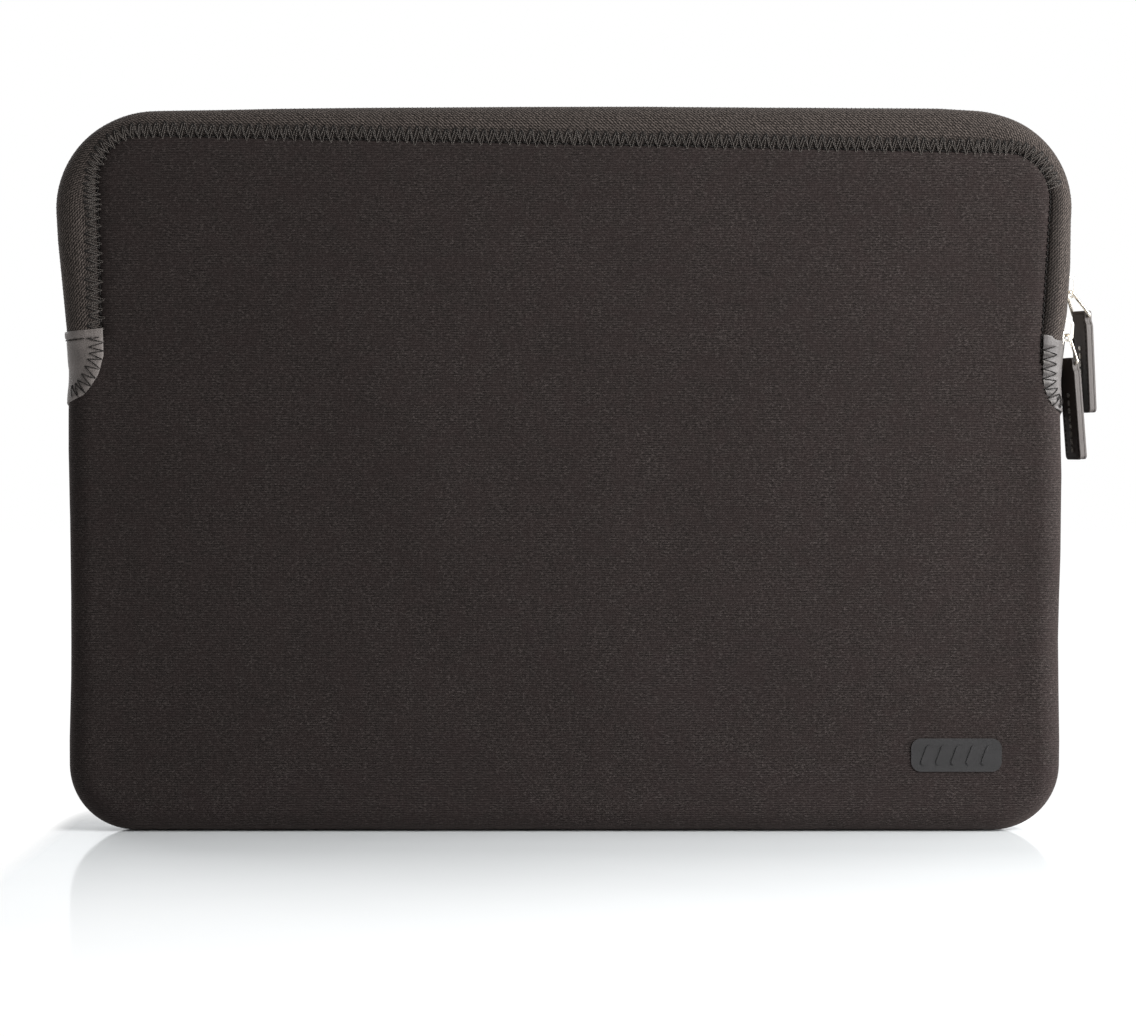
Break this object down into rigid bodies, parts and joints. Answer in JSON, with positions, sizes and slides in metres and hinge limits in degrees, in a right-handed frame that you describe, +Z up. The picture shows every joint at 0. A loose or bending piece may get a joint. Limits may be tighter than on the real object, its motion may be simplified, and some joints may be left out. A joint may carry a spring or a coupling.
{
  "type": "laptop sleeve",
  "caption": "Padded neoprene laptop sleeve with a plush lining, a zip round the top between woven bands, leather end tabs, leather zip pulls and a rubber badge.",
  "frame": {"origin": "on the floor under the middle of the lower seam, where the sleeve stands on its long edge", "axes": "+X along the long edge towards the end with the zip sliders, +Y from the front to the back, +Z up"},
  "size_m": [0.3451, 0.0253, 0.2394],
  "materials": {
    "neoprene_knit": "fine ribbed knit over foam",
    "band_twill": "matte twill",
    "zip_tape": "woven tape",
    "zip_coil": "satin",
    "plush_lining": "short plush",
    "tab_leather": "smooth matte",
    "nickel": "polished nickel plate",
    "pull_metal": "polished",
    "pull_leather": "dark smooth leather with a paler cut edge",
    "badge_rubber": "moulded, satin"
  },
  "bodies": {
    "sleeve": {"back_lining": "plush_lining", "back_panel": "neoprene_knit", "badge": "badge_rubber", "end_tab_left": "tab_leather", "end_tab_right": "tab_leather", "front_lining": "plush_lining", "front_panel": "neoprene_knit", "zip_band_back": "band_twill", "zip_band_front": "band_twill", "zip_coil_back": "zip_coil", "zip_coil_front": "zip_coil", "zip_stop_left": "nickel", "zip_stop_right": "nickel", "zip_tape_back": "zip_tape", "zip_tape_front": "zip_tape"},
    "mouth_front": {"front_lining_mouth": "plush_lining", "front_panel_mouth": "neoprene_knit", "zip_band_front_mouth": "band_twill", "zip_coil_front_mouth": "zip_coil", "zip_tape_front_mouth": "zip_tape", "zip_guard": "plush_lining"},
    "mouth_back": {"back_lining_mouth": "plush_lining", "back_panel_mouth": "neoprene_knit", "zip_band_back_mouth": "band_twill", "zip_coil_back_mouth": "zip_coil", "zip_tape_back_mouth": "zip_tape"},
    "slider_upper": {"slider_upper": "nickel"},
    "link_upper": {"link_upper": "nickel"},
    "pull_upper": {"pull_upper": "pull_leather", "pull_studs_upper": "pull_metal"},
    "slider_lower": {"slider_lower": "nickel"},
    "link_lower": {"link_lower": "nickel"},
    "pull_lower": {"pull_lower": "pull_leather", "pull_studs_lower": "pull_metal"}
  },
  "joints": [
    {"name": "mouth_front_fold", "type": "hinge", "parent": "sleeve", "child": "mouth_front", "pos_m": [-0.00002, -0.0122, 0.18544], "axis": [0.9938, 0, 0.1108], "range_deg": [0, 32], "stiffness_Nm_per_rad": 0.25},
    {"name": "mouth_back_fold", "type": "hinge", "parent": "sleeve", "child": "mouth_back", "pos_m": [-0.00002, 0.0122, 0.18544], "axis": [-0.9938, 0, -0.1108], "range_deg": [0, 32], "stiffness_Nm_per_rad": 0.25},
    {"name": "slider_upper_slide", "type": "slide", "parent": "sleeve", "child": "slider_upper", "axis": [0.06, 0, 0.9982], "range_m": [0, 0.015]},
    {"name": "slider_lower_slide", "type": "slide", "parent": "sleeve", "child": "slider_lower", "axis": [0.06, 0, 0.9982], "range_m": [-0.0016, 0.0009]},
    {"name": "link_upper_swing", "type": "hinge", "parent": "slider_upper", "child": "link_upper", "pos_m": [0.16856, 0, 0.17922], "axis": [0.3746, -0.9272, 0], "range_deg": [0, 110]},
    {"name": "pull_upper_swing", "type": "hinge", "parent": "link_upper", "child": "pull_upper", "pos_m": [0.1731, 0.00183, 0.17107], "axis": [0.3746, -0.9272, 0], "range_deg": [0, 60]},
    {"name": "link_lower_swing", "type": "hinge", "parent": "slider_lower", "child": "link_lower", "pos_m": [0.1677, 0, 0.16482], "axis": [0.3746, -0.9272, 0], "range_deg": [0, 2]},
    {"name": "pull_lower_swing", "type": "hinge", "parent": "link_lower", "child": "pull_lower", "pos_m": [0.16877, 0.00043, 0.15539], "axis": [0.3746, -0.9272, 0], "range_deg": [0, 3]}
  ]
}
